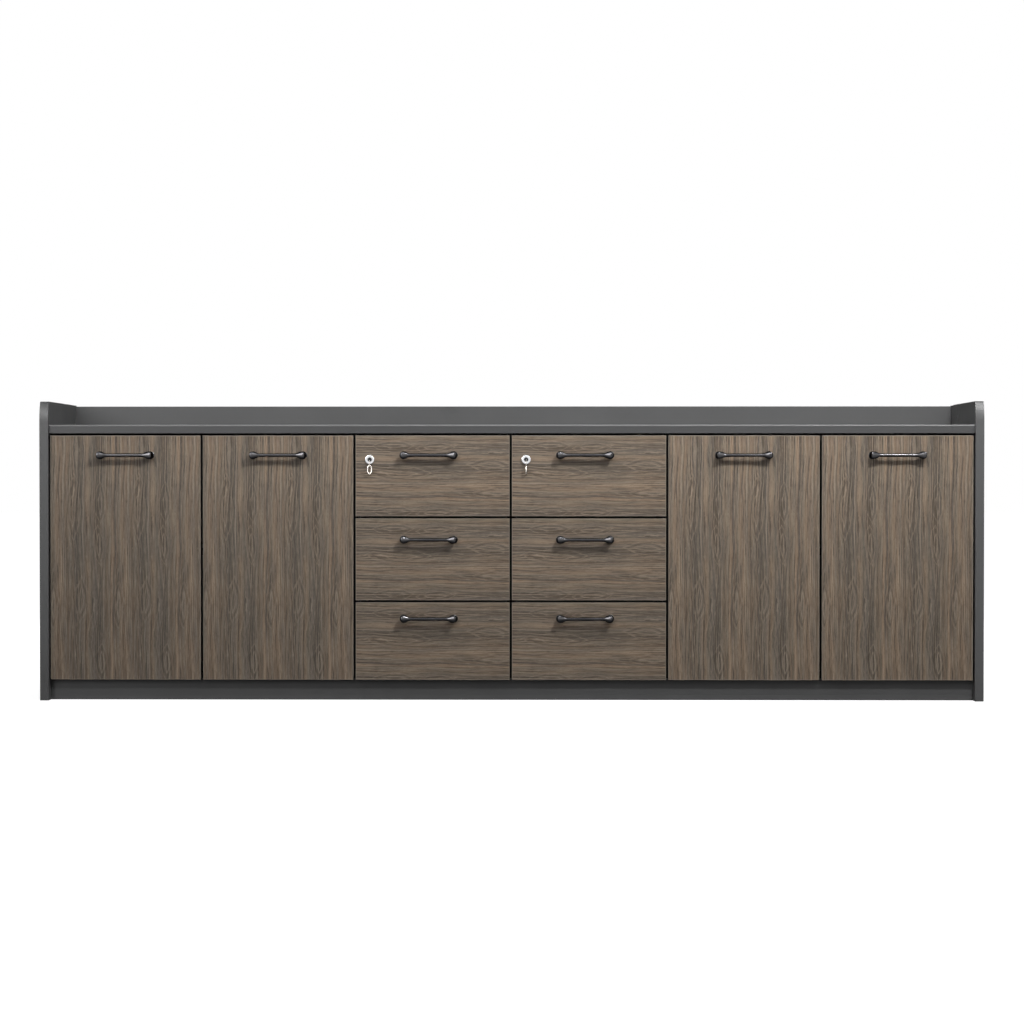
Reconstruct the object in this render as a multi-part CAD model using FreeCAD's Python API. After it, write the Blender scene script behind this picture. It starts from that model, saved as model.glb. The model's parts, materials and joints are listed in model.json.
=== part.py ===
"""Low office credenza: two pairs of hinged doors either side of two columns of drawers.

Millimetres, +X to the right, +Y to the back, +Z up.  The origin lies on the floor, under
the middle of the whole piece with its handles.  The front faces -Y.
"""
import FreeCAD, Part
import math
import os

V = FreeCAD.Vector

# ---------------------------------------------------------------- driving dimensions

# Outer carcass
width = 2400.0
depth = 400.0
height = 762.0
side_thickness = 22.0
top_thickness = 22.0
board = 18.0
back_thickness = 8.0
back_inset = 10.0

# Raised sides and back rail round the top
gallery_height = 59.0
gallery_thickness = 18.0
rail_drop = 3.0
nose_height = 50.0
nose_set_back = 12.0
nose_corner_radius = 6.0
top_edge_radius = 4.0

# Plinth and inner carcass
plinth_height = 56.0
front_recess = 11.0
carcass_gap = 3.0
drawer_bay_width = 398.0
shelf_height = 370.0
shelf_setback = 16.0
shelf_side_gap = 1.0
pin_radius = 2.5
pin_in_board = 9.0
pin_stand_out = 8.0
pin_from_edge = 45.0
pin_slack = 0.05

# Doors and drawer fronts
front_thickness = 18.0
side_gap = 3.0
upright_gap = 4.5
row_gap = 4.0
top_gap = 5.0
front_bottom = 52.0
top_front_height = 207.0
middle_front_height = 210.0
front_edge_radius = 1.2

# Hinges of the doors
hinge_edge_distance = 8.0
hinge_face_distance = 5.0
hinge_end_distance = 100.0
cup_radius = 17.5
cup_depth = 11.5
cup_wall = 1.2
cup_edge_distance = 22.0
cup_bore_slack = 0.2
cup_plate_width = 20.0
cup_plate_height = 62.0
arm_length = 54.0
arm_past_pivot = 9.0
arm_half_height = 7.0
arm_front_gap = 0.5
neck_clearance = 0.6
neck_thickness = 2.6
neck_half_height = 5.0
neck_seat_gap = 0.3
plate_thickness = 2.5
plate_half_height = 25.0
plate_length = 46.0

# Bow handles
handle_span = 128.0
handle_projection = 29.0
handle_foot_radius = 10.0
handle_foot_edge = 1.2
handle_foot_cove = 0.35
handle_neck_radius = 6.0
handle_head_radius = 7.5
handle_bar_radius = 4.8
handle_waist_radius = 4.2
handle_waist_distance = 36.0
bar_end_radius = 7.1
bar_end_in_head = 5.2
bar_flare_radius = 4.7
bar_flare_length = 12.0
handle_drops = [51.0, 55.0, 42.0]
drawer_handle_shift = -10.0
screw_radius = 2.0
screw_head_radius = 4.0
screw_head_height = 2.2
screw_in_handle = 8.0
screw_slack = 0.2
thread_slack = 0.05

# Drawer boxes on telescopic runners
box_wall = 12.0
box_bottom = 5.0
box_bottom_rise = 8.0
box_depth = 330.0
box_rise = 28.0
box_drop = 24.0
runner_space = 12.7
runner_length = 300.0
runner_setback = 18.0
runner_rise = 32.0
runner_half_height = 22.5
runner_sheet = 1.3
runner_flange = 1.5
runner_play = 0.4
runner_web_gap = 2.2

# Cylinder locks on the top drawers and their locking bars
lock_inset = 37.0
lock_drop = 62.0
collar_radius = 11.8
collar_height = 7.0
collar_edge = 1.6
barrel_radius = 9.5
barrel_slack = 0.1
barrel_stand_out = 1.5
plug_radius = 5.5
plug_slack = 0.08
plug_recess = 3.0
driver_radius = 9.2
driver_thickness = 2.0
driver_gap = 0.3
driver_orbit = 7.0
driver_pin_radius = 1.75
driver_pin_length = 7.5
key_turn = 90.0
slot_slack = 0.6
slot_rim = 3.0
bar_setback = 4.0
bar_thickness = 2.6
bar_depth = 10.0
bar_play = 0.3
bar_plate = 2.0
lug_depth = 6.0
lug_reach = 6.5
lug_height = 8.0
lug_drop = 1.0
catch_gap = 0.8
catch_thickness = 3.0
catch_height = 8.0
catch_above_runner = 10.0
catch_reach_gap = 1.0
catch_sheet = 1.2
catch_length = 28.0
guide_wall = 1.2
guide_height = 12.0
box_below_lock = 19.0

# Folding keys
stem_radius = 1.9
knuckle_radius = 2.6
knuckle_length = 5.0
knuckle_slack = 0.2
knuckle_gap = 2.0
fork_sheet = 1.2
fork_gap = 0.3
key_pin_radius = 0.8
key_pin_slack = 0.08
neck_width = 3.0
key_sheet = 1.6
bow_length = 38.0
bow_loop_height = 18.0
bow_loop_width = 13.0
bow_rim = 3.6

# ---------------------------------------------------------------- derived places

half_width = width / 2
inner_half = half_width - side_thickness
handle_proud = handle_projection - front_recess
overall_depth = depth + handle_proud
side_front = -overall_depth / 2 + handle_proud
side_rear = side_front + depth
face = side_front + front_recess
front_back = face + front_thickness
carcass_front = front_back + carcass_gap
back_rear = side_rear - back_inset
back_front = back_rear - back_thickness

top_surface = height - gallery_height
top_underside = top_surface - top_thickness
bottom_top = plinth_height + board
front_top = top_underside - top_gap

partition_centres = [-drawer_bay_width, 0.0, drawer_bay_width]
doors_outer = inner_half - side_gap
doors_inner = drawer_bay_width + upright_gap / 2
door_width = (doors_outer - doors_inner - upright_gap) / 2

# z of the lower and upper edge of the three rows of drawer fronts, from the top
row_tops = [front_top,
            front_top - top_front_height - row_gap,
            front_top - top_front_height - middle_front_height - 2 * row_gap]
row_bottoms = [row_tops[0] - top_front_height,
               row_tops[1] - middle_front_height,
               front_bottom]
lock_z = front_top - lock_drop
lock_swing = math.radians(key_turn / 2)
bar_travel = 2 * driver_orbit * math.sin(lock_swing)
row_names = ["top", "middle", "bottom"]
columns = [("left", -drawer_bay_width), ("right", 0.0)]

nodes = {}


# ---------------------------------------------------------------- shape helpers

def block(x0, x1, y0, y1, z0, z1):
    """A box between two corners, given in any order along each axis."""
    low = V(min(x0, x1), min(y0, y1), min(z0, z1))
    return Part.makeBox(abs(x1 - x0), abs(y1 - y0), abs(z1 - z0), low)


def rod(radius, start, end):
    """A round rod between two points."""
    along = end.sub(start)
    return Part.makeCylinder(radius, along.Length, start, along)


def group(shapes):
    """Separate solids kept side by side in one node."""
    return Part.makeCompound(shapes)


def edges_where(shape, test):
    """The straight edges whose two ends both pass the test."""
    return [e for e in shape.Edges
            if len(e.Vertexes) == 2 and all(test(v.Point) for v in e.Vertexes)]


def near(a, b):
    return abs(a - b) < 1e-6


# ---------------------------------------------------------------- carcass

def side_panel(x0):
    """A side: upright front edge that leans back in an arc over its raised top."""
    radius = (nose_height ** 2 + nose_set_back ** 2) / (2 * nose_set_back)
    nose_start = height - nose_height
    half_turn = math.asin(nose_height / radius) / 2
    middle = V(x0, side_front + radius * (1 - math.cos(half_turn)),
               nose_start + radius * math.sin(half_turn))
    start = V(x0, side_front, nose_start)
    end = V(x0, side_front + nose_set_back, height)
    foot = V(x0, side_front, 0)
    heel = V(x0, side_rear, 0)
    head = V(x0, side_rear, height)
    outline = Part.Wire([Part.makeLine(foot, start),
                         Part.Arc(start, middle, end).toShape(),
                         Part.makeLine(end, head),
                         Part.makeLine(head, heel),
                         Part.makeLine(heel, foot)])
    panel = Part.Face(outline).extrude(V(side_thickness, 0, 0))
    corner = edges_where(panel, lambda p: near(p.y, end.y) and near(p.z, height))
    return panel.makeFillet(nose_corner_radius, corner)


def shelf_bays():
    """Inner faces, left and right, of the two bays that have doors."""
    return [(-inner_half, partition_centres[0] - board / 2),
            (partition_centres[2] + board / 2, inner_half)]


def pin_places():
    """Each shelf pin: the board face that it is set in, its side, and its y."""
    front_pin = carcass_front + shelf_setback + pin_from_edge
    back_pin = back_front - pin_from_edge
    return [(x, side, y)
            for left, right in shelf_bays()
            for x, side in ((left, 1), (right, -1))
            for y in (front_pin, back_pin)]


def drilled_for_pins(shape):
    """A carcass board with the blind holes that the shelf pins sit in."""
    depth_of_hole = pin_in_board + pin_slack
    z = shelf_height - pin_radius
    for x, side, y in pin_places():
        hole = rod(pin_radius + pin_slack, V(x, y, z), V(x - side * depth_of_hole, y, z))
        shape = shape.cut(hole)
    return shape


def build_carcass():
    sides = [side_panel(-half_width), side_panel(inner_half)]
    nodes["side_panels"] = group([drilled_for_pins(s) for s in sides])

    rail_front = side_rear - gallery_thickness
    top = block(-inner_half, inner_half, face, rail_front, top_underside, top_surface)
    front_edge = edges_where(top, lambda p: near(p.y, face) and near(p.z, top_surface))
    nodes["top_panel"] = top.makeFillet(top_edge_radius, front_edge)

    nodes["gallery_back_rail"] = block(-inner_half, inner_half, rail_front, side_rear,
                                       top_underside, height - rail_drop)
    nodes["bottom_panel"] = block(-inner_half, inner_half, carcass_front, back_front,
                                  plinth_height, bottom_top)
    nodes["plinth_boards"] = group([
        block(-inner_half, inner_half, y, y + board, 0, plinth_height)
        for y in (carcass_front, back_front - board)])

    uprights = [block(x - board / 2, x + board / 2, carcass_front, back_front,
                      bottom_top, top_underside) for x in partition_centres]
    nodes["partitions"] = group([drilled_for_pins(u) for u in uprights])

    joints = [-inner_half, partition_centres[0], partition_centres[2], inner_half]
    nodes["back_panels"] = group([
        block(a, b, back_front, back_rear, plinth_height, top_underside)
        for a, b in zip(joints, joints[1:])])

    nodes["shelves"] = group([
        block(left + shelf_side_gap, right - shelf_side_gap, carcass_front + shelf_setback,
              back_front - shelf_side_gap, shelf_height, shelf_height + board)
        for left, right in shelf_bays()])


# ---------------------------------------------------------------- doors

def door_places():
    """The four doors: hinge-edge x, free-edge x, and which way the door runs from its hinge."""
    return [(-doors_outer, -doors_outer + door_width, 1),
            (-doors_inner, -doors_inner - door_width, -1),
            (doors_inner, doors_inner + door_width, 1),
            (doors_outer, doors_outer - door_width, -1)]


def hinge_heights():
    return [front_bottom + hinge_end_distance, front_top - hinge_end_distance]


def front_panel(x0, x1, z0, z1):
    """A laminated front with its four front edges eased."""
    panel = block(x0, x1, face, front_back, z0, z1)
    return panel.makeFillet(front_edge_radius, edges_where(panel, lambda p: near(p.y, face)))


def hinge_cup(x_edge, run, z):
    """A round steel cup let into the back of the door, with the plate that holds it."""
    x = x_edge + run * cup_edge_distance
    cup = rod(cup_radius, V(x, front_back - cup_depth, z), V(x, front_back, z))
    plate = block(x - cup_plate_width / 2, x + cup_plate_width / 2, front_back,
                  front_back + cup_wall, z - cup_plate_height / 2, z + cup_plate_height / 2)
    hollow = rod(cup_radius - cup_wall, V(x, front_back - cup_depth + cup_wall, z),
                 V(x, front_back + cup_wall, z))
    return cup.fuse(plate).cut(hollow).removeSplitter()


def hinge_neck(hinge_x, run, z):
    """The curved end of the arm: an arc about the door's turning axis that enters the cup."""
    pivot = V(hinge_x + run * hinge_edge_distance, face + hinge_face_distance,
              z - neck_half_height)
    behind_axis = front_thickness - hinge_face_distance
    inner = math.hypot(hinge_edge_distance, behind_axis) + neck_clearance
    outer = inner + neck_thickness
    cup_floor = behind_axis - cup_depth + cup_wall
    tip = math.asin((cup_floor + neck_seat_gap) / inner)
    root = math.pi / 2

    def at(radius, angle):
        return pivot.add(V(run * radius * math.cos(angle), radius * math.sin(angle), 0))

    half = (tip + root) / 2
    outline = Part.Wire([Part.Arc(at(inner, tip), at(inner, half), at(inner, root)).toShape(),
                         Part.makeLine(at(inner, root), at(outer, root)),
                         Part.Arc(at(outer, root), at(outer, half), at(outer, tip)).toShape(),
                         Part.makeLine(at(outer, tip), at(inner, tip))])
    return Part.Face(outline).extrude(V(0, 0, 2 * neck_half_height))


def hinge_arm(x_face, hinge_x, run, z):
    """The cabinet half of a hinge: screwed plate, arm, and neck that reaches into the cup."""
    front = carcass_front + arm_front_gap
    plate_start = front + arm_length - plate_length
    plate = block(x_face, x_face + run * plate_thickness, plate_start, plate_start + plate_length,
                  z - plate_half_height, z + plate_half_height)
    arm = block(x_face + run * plate_thickness,
                hinge_x + run * (hinge_edge_distance + arm_past_pivot),
                front, front + arm_length, z - arm_half_height, z + arm_half_height)
    return plate.fuse([arm, hinge_neck(hinge_x, run, z)]).removeSplitter()


def build_doors():
    outer_face = inner_half
    inner_face = partition_centres[2] + board / 2
    faces = [-outer_face, -inner_face, inner_face, outer_face]
    arms = []
    for number, (hinge_x, free_x, run) in enumerate(door_places(), 1):
        panel = front_panel(min(hinge_x, free_x), max(hinge_x, free_x), front_bottom, front_top)
        handle_x = (hinge_x + free_x) / 2
        handle_z = front_top - handle_drops[0]
        cups = []
        for z in hinge_heights():
            x = hinge_x + run * cup_edge_distance
            bore = rod(cup_radius + cup_bore_slack,
                       V(x, front_back - cup_depth - cup_bore_slack, z), V(x, front_back, z))
            panel = panel.cut(bore)
            cups.append(hinge_cup(hinge_x, run, z))
            arms.append(hinge_arm(faces[number - 1], hinge_x, run, z))
        for x in handle_feet(handle_x):
            panel = panel.cut(screw_hole(x, handle_z, front_back))
        nodes[f"door_{number}_panel"] = panel
        nodes[f"door_{number}_hinge_cups"] = group(cups)
        nodes[f"door_{number}_handle"] = handle_set(handle_x, handle_z, front_back)
    pins = [rod(pin_radius, V(x - side * pin_in_board, y, shelf_height - pin_radius),
                V(x + side * pin_stand_out, y, shelf_height - pin_radius))
            for x, side, y in pin_places()]
    nodes["door_bay_fittings"] = group(arms + pins)


# ---------------------------------------------------------------- handles

def handle_feet(x):
    return [x - handle_span / 2, x + handle_span / 2]


def screw_hole(x, z, back):
    return rod(screw_radius + screw_slack, V(x, face, z), V(x, back, z))


def handle_post():
    """A turned post on the Y axis, its flared foot on the front and a round head outside."""
    bar_axis = handle_projection - handle_head_radius
    foot = V(handle_foot_radius, 0, 0)
    rim = V(handle_foot_radius, -handle_foot_edge, 0)
    flank = V(handle_neck_radius, -bar_axis / 2, 0)
    shoulder = V(handle_head_radius, -bar_axis, 0)
    rise = handle_foot_edge + (bar_axis / 2 - handle_foot_edge) * handle_foot_cove
    flare = V(handle_neck_radius + (handle_foot_radius - handle_neck_radius) * handle_foot_cove,
              -rise, 0)
    sweep = math.sqrt(0.5) * handle_head_radius
    crown = V(sweep, -bar_axis - sweep, 0)
    tip = V(0, -handle_projection, 0)
    profile = Part.BSplineCurve()
    profile.interpolate([rim, flare, flank, shoulder])
    outline = Part.Wire([Part.makeLine(V(0, 0, 0), foot),
                         Part.makeLine(foot, rim),
                         profile.toShape(),
                         Part.Arc(shoulder, crown, tip).toShape(),
                         Part.makeLine(tip, V(0, 0, 0))])
    return Part.Face(outline).revolve(V(0, 0, 0), V(0, 1, 0), 360)


def handle_bar():
    """The grip: a round bar, fullest in the middle, that flares into the heads."""
    bar_axis = handle_projection - handle_head_radius
    end = handle_span / 2 - handle_head_radius + bar_end_in_head
    stations = [(end, bar_end_radius), (end - bar_flare_length, bar_flare_radius),
                (handle_waist_distance, handle_waist_radius), (0.0, handle_bar_radius)]
    points = [V(-x, r, 0) for x, r in stations] + [V(x, r, 0) for x, r in stations[-2::-1]]
    profile = Part.BSplineCurve()
    profile.interpolate(points)
    outline = Part.Wire([Part.makeLine(V(-end, 0, 0), points[0]),
                         profile.toShape(),
                         Part.makeLine(points[-1], V(end, 0, 0)),
                         Part.makeLine(V(end, 0, 0), V(-end, 0, 0))])
    bar = Part.Face(outline).revolve(V(0, 0, 0), V(1, 0, 0), 360)
    bar.translate(V(0, -bar_axis, 0))
    return bar


def handle_blank():
    posts = []
    for x in handle_feet(0.0):
        post = handle_post()
        post.translate(V(x, 0, 0))
        posts.append(post)
    grip = handle_bar().fuse(posts)
    for x in handle_feet(0.0):
        grip = grip.cut(rod(screw_radius + thread_slack, V(x, -screw_in_handle, 0), V(x, 0, 0)))
    return grip.removeSplitter()


handle_pattern = handle_blank()


def handle_set(x, z, back):
    """One handle on a front, with the two screws that hold it from behind."""
    grip = handle_pattern.copy()
    grip.translate(V(x, face, z))
    screws = []
    for foot_x in handle_feet(x):
        shank = rod(screw_radius, V(foot_x, face - screw_in_handle, z), V(foot_x, back, z))
        head = rod(screw_head_radius, V(foot_x, back, z), V(foot_x, back + screw_head_height, z))
        screws.append(shank.fuse(head).removeSplitter())
    return group([grip] + screws)


# ---------------------------------------------------------------- drawers

def bay_faces(partition_x):
    """Inner faces of a drawer bay, from the partition on its left."""
    return (partition_x + board / 2, partition_x + drawer_bay_width - board / 2)


def box_top(row):
    if row == 0:
        return lock_z - box_below_lock
    return row_tops[row] - box_drop


def box_floor(row):
    return row_bottoms[row] + box_rise


def runner_centre(row):
    return box_floor(row) + runner_rise


def channel(x_web, run, x_lips, half_height, y0, length, z):
    """A steel U channel: upright web at x_web, lips reaching to x_lips."""
    y1 = y0 + length
    web = block(x_web, x_web + run * runner_sheet, y0, y1, z - half_height, z + half_height)
    upper = block(x_web, x_lips, y0, y1, z + half_height - runner_flange, z + half_height)
    lower = block(x_web, x_lips, y0, y1, z - half_height, z - half_height + runner_flange)
    return web.fuse([upper, lower]).removeSplitter()


def runner_members(x_face, run, z):
    """Cabinet, middle and drawer channels of one telescopic runner."""
    y0 = carcass_front + runner_setback
    nested = runner_flange + runner_play
    lip_end = x_face + run * (runner_space - runner_sheet - runner_play)
    cabinet = channel(x_face, run, lip_end, runner_half_height, y0, runner_length, z)
    middle_web = x_face + run * (runner_sheet + runner_web_gap)
    middle = channel(middle_web, run, lip_end, runner_half_height - nested,
                     y0, runner_length, z)
    drawer_web = x_face + run * runner_space
    drawer_lips = middle_web + run * (runner_sheet + runner_web_gap)
    drawer = channel(drawer_web, -run, drawer_lips, runner_half_height - 2 * nested,
                     y0, runner_length, z)
    return cabinet, middle, drawer


def catch_z(row):
    return runner_centre(row) + runner_half_height + catch_above_runner


def drawer_catch(x_face, row):
    """The small steel angle on a drawer side that the lug of the locking bar stops."""
    z = catch_z(row)
    outer = x_face + runner_space
    y0 = carcass_front + bar_setback + lug_depth + catch_gap
    leaf = block(outer - catch_sheet, outer, y0, y0 + catch_length, z, z + catch_height)
    tooth = block(x_face + bar_play + bar_thickness + catch_reach_gap, outer, y0, y0 + catch_thickness,
                  z, z + catch_height)
    return leaf.fuse(tooth).removeSplitter()


def drawer_box(left, right, row, handle_x, handle_z):
    """Two sides, back, inner front and bottom of a drawer, drilled for the handle screws."""
    x0 = left + runner_space
    x1 = right - runner_space
    y0 = front_back
    y1 = y0 + box_depth
    z0 = box_floor(row)
    z1 = box_top(row)
    inner_x0 = x0 + box_wall
    inner_x1 = x1 - box_wall
    inner_front = block(inner_x0, inner_x1, y0, y0 + box_wall, z0, z1)
    for x in handle_feet(handle_x):
        inner_front = inner_front.cut(screw_hole(x, handle_z, y0 + box_wall))
    tray_z = z0 + box_bottom_rise
    return group([block(x0, inner_x0, y0, y1, z0, z1),
                  block(inner_x1, x1, y0, y1, z0, z1),
                  block(inner_x0, inner_x1, y1 - box_wall, y1, z0, z1),
                  inner_front,
                  block(inner_x0, inner_x1, y0 + box_wall, y1 - box_wall,
                        tray_z, tray_z + box_bottom)])


def build_drawers():
    rails = []
    for side, partition_x in columns:
        left, right = bay_faces(partition_x)
        front_left = partition_x + upright_gap / 2
        front_right = partition_x + drawer_bay_width - upright_gap / 2
        handle_x = (front_left + front_right) / 2 + drawer_handle_shift
        for row, row_name in enumerate(row_names):
            name = f"{side}_{row_name}_drawer"
            handle_z = row_tops[row] - handle_drops[row]
            screwed_box = handle_z < box_top(row)
            back = front_back + (box_wall if screwed_box else 0.0)
            front = front_panel(front_left, front_right, row_bottoms[row], row_tops[row])
            for x in handle_feet(handle_x):
                front = front.cut(screw_hole(x, handle_z, front_back))
            if row == 0:
                x = front_left + lock_inset
                front = front.cut(rod(barrel_radius + barrel_slack,
                                      V(x, face, lock_z), V(x, front_back, lock_z)))
            nodes[f"{name}_front"] = front
            nodes[f"{name}_handle"] = handle_set(handle_x, handle_z, back)
            nodes[f"{name}_box"] = drawer_box(left, right, row, handle_x, handle_z)
            z = runner_centre(row)
            members = [runner_members(left, 1, z), runner_members(right, -1, z)]
            rails += [m[0] for m in members]
            nodes[f"{name}_middle_runners"] = group([m[1] for m in members])
            nodes[f"{name}_runners"] = group([m[2] for m in members] + [drawer_catch(left, row)])
        rails += [bar_guide(left, z) for z in guide_heights()]
    nodes["runner_rails"] = group(rails)


# ---------------------------------------------------------------- locks and locking bars

def guide_heights():
    """Middle of each guide clip, behind the gaps between the rows of fronts."""
    return [row_bottoms[0] - row_gap / 2, row_bottoms[1] - row_gap / 2]


def bar_guide(x_face, z):
    """A clip on the partition that the locking bar slides in."""
    y0 = carcass_front + bar_setback - bar_play
    y1 = carcass_front + bar_setback + bar_depth + bar_play
    x1 = x_face + bar_thickness + 2 * bar_play
    z0 = z - guide_height / 2
    z1 = z + guide_height / 2
    shell = block(x_face, x1 + guide_wall, y0 - guide_wall, y1 + guide_wall, z0, z1)
    return shell.cut(block(x_face, x1, y0, y1, z0, z1))


def locking_bar(x_face, lock_x):
    """A flat bar on the partition: a lug for each drawer and a slotted driver plate on top."""
    x0 = x_face + bar_play
    x1 = x0 + bar_thickness
    y0 = carcass_front + bar_setback
    pin_z = lock_z - driver_orbit * math.sin(lock_swing)
    half_slot = driver_pin_radius + slot_slack
    plate_low = pin_z - half_slot - slot_rim
    plate_high = pin_z + half_slot + slot_rim
    lowest_lug = catch_z(len(row_names) - 1) - lug_drop - lug_height
    bar = block(x0, x1, y0, y0 + bar_depth, lowest_lug - lug_height, plate_high)
    plate = block(x0, lock_x, y0, y0 + bar_plate, plate_low, plate_high)
    near_x = lock_x - driver_orbit * math.cos(lock_swing) + half_slot
    far_x = lock_x - driver_orbit - half_slot
    slot = block(far_x, near_x, y0, y0 + bar_plate, pin_z - half_slot, pin_z + half_slot)
    lugs = []
    for row in range(len(row_names)):
        z1 = catch_z(row) - lug_drop
        lugs.append(block(x0, x1 + lug_reach, y0, y0 + lug_depth, z1 - lug_height, z1))
    return bar.fuse([plate] + lugs).cut(slot).removeSplitter()


def lock_barrel(x):
    """Chromed collar on the drawer front, and the fixed barrel behind it."""
    collar = rod(collar_radius, V(x, face - collar_height, lock_z), V(x, face, lock_z))
    rim = [e for e in collar.Edges if near(e.BoundBox.YMax, face - collar_height)]
    collar = collar.makeFillet(collar_edge, rim)
    barrel = rod(barrel_radius, V(x, face, lock_z), V(x, front_back + barrel_stand_out, lock_z))
    bore = rod(plug_radius + plug_slack, V(x, face - collar_height, lock_z),
               V(x, front_back + barrel_stand_out, lock_z))
    return collar.fuse(barrel).cut(bore).removeSplitter()


def knuckle_y():
    return face - collar_height - knuckle_gap - knuckle_radius


def lock_plug(x):
    """The turning core with the key's stem in it, and the driver disc and pin behind."""
    barrel_end = front_back + barrel_stand_out
    disc_front = barrel_end + driver_gap
    disc_back = disc_front + driver_thickness
    core_front = face - collar_height + plug_recess
    core = rod(plug_radius, V(x, core_front, lock_z), V(x, disc_front, lock_z))
    disc = rod(driver_radius, V(x, disc_front, lock_z), V(x, disc_back, lock_z))
    pin_x = x - driver_orbit * math.cos(lock_swing)
    pin_z = lock_z - driver_orbit * math.sin(lock_swing)
    pin = rod(driver_pin_radius, V(pin_x, disc_front, pin_z),
              V(pin_x, disc_back + driver_pin_length, pin_z))
    bridge_front = knuckle_y() + knuckle_radius + fork_gap
    bridge_back = bridge_front + fork_sheet
    stem = rod(stem_radius, V(x, bridge_front, lock_z), V(x, core_front, lock_z))
    half = knuckle_length / 2
    z0 = lock_z - knuckle_radius
    z1 = lock_z + knuckle_radius
    fork = [block(x + s * half, x + s * (half + fork_sheet), knuckle_y() - knuckle_radius,
                  bridge_back, z0, z1) for s in (-1, 1)]
    bridge = block(x - half - fork_sheet, x + half + fork_sheet, bridge_front, bridge_back, z0, z1)
    pivot = rod(key_pin_radius, V(x - half - fork_sheet, knuckle_y(), lock_z),
                V(x + half + fork_sheet, knuckle_y(), lock_z))
    return core.fuse([disc, pin, stem, bridge, pivot] + fork).removeSplitter()


def key_bow(x, edge_on):
    """The folding half of the key: knuckle, thin neck and a looped bow, hanging down."""
    y = knuckle_y()
    half = knuckle_length / 2 - knuckle_slack
    knuckle = rod(knuckle_radius - knuckle_slack, V(x - half, y, lock_z), V(x + half, y, lock_z))
    loop_top = lock_z - bow_length + bow_loop_height
    neck = block(x - neck_width / 2, x + neck_width / 2, y - key_sheet / 2, y + key_sheet / 2,
                 loop_top - bow_rim / 2, lock_z)
    outer = bow_loop(x, y, bow_loop_width / 2, loop_top, lock_z - bow_length)
    hole = bow_loop(x, y, bow_loop_width / 2 - bow_rim, loop_top - bow_rim,
                    lock_z - bow_length + bow_rim)
    loop = outer.cut(hole)
    if edge_on:
        loop.rotate(V(x, y, 0), V(0, 0, 1), 90)
    hole_for_pin = rod(key_pin_radius + key_pin_slack, V(x - half, y, lock_z),
                       V(x + half, y, lock_z))
    return knuckle.fuse([neck, loop]).cut(hole_for_pin).removeSplitter()


def bow_loop(x, y, half_width_of_loop, z1, z0):
    """A flat plate with round ends, upright in the plane of the drawer front."""
    r = half_width_of_loop
    low = V(x, y - key_sheet / 2, z0 + r)
    high = V(x, y - key_sheet / 2, z1 - r)
    through = V(0, key_sheet, 0)
    body = block(x - r, x + r, y - key_sheet / 2, y + key_sheet / 2, low.z, high.z)
    ends = [rod(r, p, p.add(through)) for p in (low, high)]
    return body.fuse(ends).removeSplitter()


def build_locks():
    for side, partition_x in columns:
        left, right = bay_faces(partition_x)
        x = partition_x + upright_gap / 2 + lock_inset
        nodes[f"{side}_lock_barrel"] = lock_barrel(x)
        nodes[f"{side}_lock_plug"] = lock_plug(x)
        nodes[f"{side}_key_bow"] = key_bow(x, edge_on=(side == "right"))
        nodes[f"{side}_locking_bar"] = locking_bar(left, x)


# ---------------------------------------------------------------- build and export

build_carcass()
build_doors()
build_drawers()
build_locks()

os.makedirs("parts", exist_ok=True)
for node_name, shape in nodes.items():
    shape.exportStep(os.path.join("parts", node_name + ".step"))
print(len(nodes), "nodes written")
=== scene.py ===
"""Office credenza: finishes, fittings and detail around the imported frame. Metres, +Z up."""
import json
import math

import bmesh
import bpy
from mathutils import Matrix, Vector


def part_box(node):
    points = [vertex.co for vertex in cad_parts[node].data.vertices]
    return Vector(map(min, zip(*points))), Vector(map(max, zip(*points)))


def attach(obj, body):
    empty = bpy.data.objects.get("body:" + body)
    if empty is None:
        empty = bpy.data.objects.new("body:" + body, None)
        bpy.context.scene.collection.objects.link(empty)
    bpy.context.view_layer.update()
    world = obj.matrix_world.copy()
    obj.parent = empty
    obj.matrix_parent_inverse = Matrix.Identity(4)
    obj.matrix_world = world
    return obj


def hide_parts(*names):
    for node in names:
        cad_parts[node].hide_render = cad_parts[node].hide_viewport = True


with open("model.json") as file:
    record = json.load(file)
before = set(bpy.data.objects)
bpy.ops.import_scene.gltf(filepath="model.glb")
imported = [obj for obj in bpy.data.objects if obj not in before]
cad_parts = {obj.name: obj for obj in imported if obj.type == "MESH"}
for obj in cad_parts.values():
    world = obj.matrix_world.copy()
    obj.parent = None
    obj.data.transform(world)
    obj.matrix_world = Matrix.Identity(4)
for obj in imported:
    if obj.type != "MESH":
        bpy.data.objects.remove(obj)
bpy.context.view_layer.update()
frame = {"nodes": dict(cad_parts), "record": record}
nodes = frame["nodes"]


# Grey boards: the two sides, the top, the back rail and the plinth boards. Chipboard faced with
# a matt anthracite laminate that has a fine pearl texture, and edged with a band to match. The
# boards are joined with hidden fittings.
mm = 0.001


def put(tree, kind, feeds=None, **settings):
    """A shader node with its settings, and its sockets given values or fed by other sockets."""
    made = tree.nodes.new(kind)
    for name, value in settings.items():
        setattr(made, name, value)
    for socket, value in (feeds or {}).items():
        if isinstance(value, bpy.types.NodeSocket):
            tree.links.new(value, made.inputs[socket])
        else:
            made.inputs[socket].default_value = value
    return made


def calc(tree, operation, a, b=0.0):
    return put(tree, "ShaderNodeMath", {0: a, 1: b}, operation=operation).outputs[0]


def blend_colours(tree, share, a, b):
    return put(tree, "ShaderNodeMix", {0: share, 6: a, 7: b}, data_type="RGBA").outputs[2]


def spread(tree, value, low, high, to_low=0.0, to_high=1.0):
    """A value from low to high laid out between two others, and held there beyond them."""
    made = put(tree, "ShaderNodeMapRange", {0: value, 1: low, 2: high, 3: to_low, 4: to_high})
    return made.outputs[0]


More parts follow.
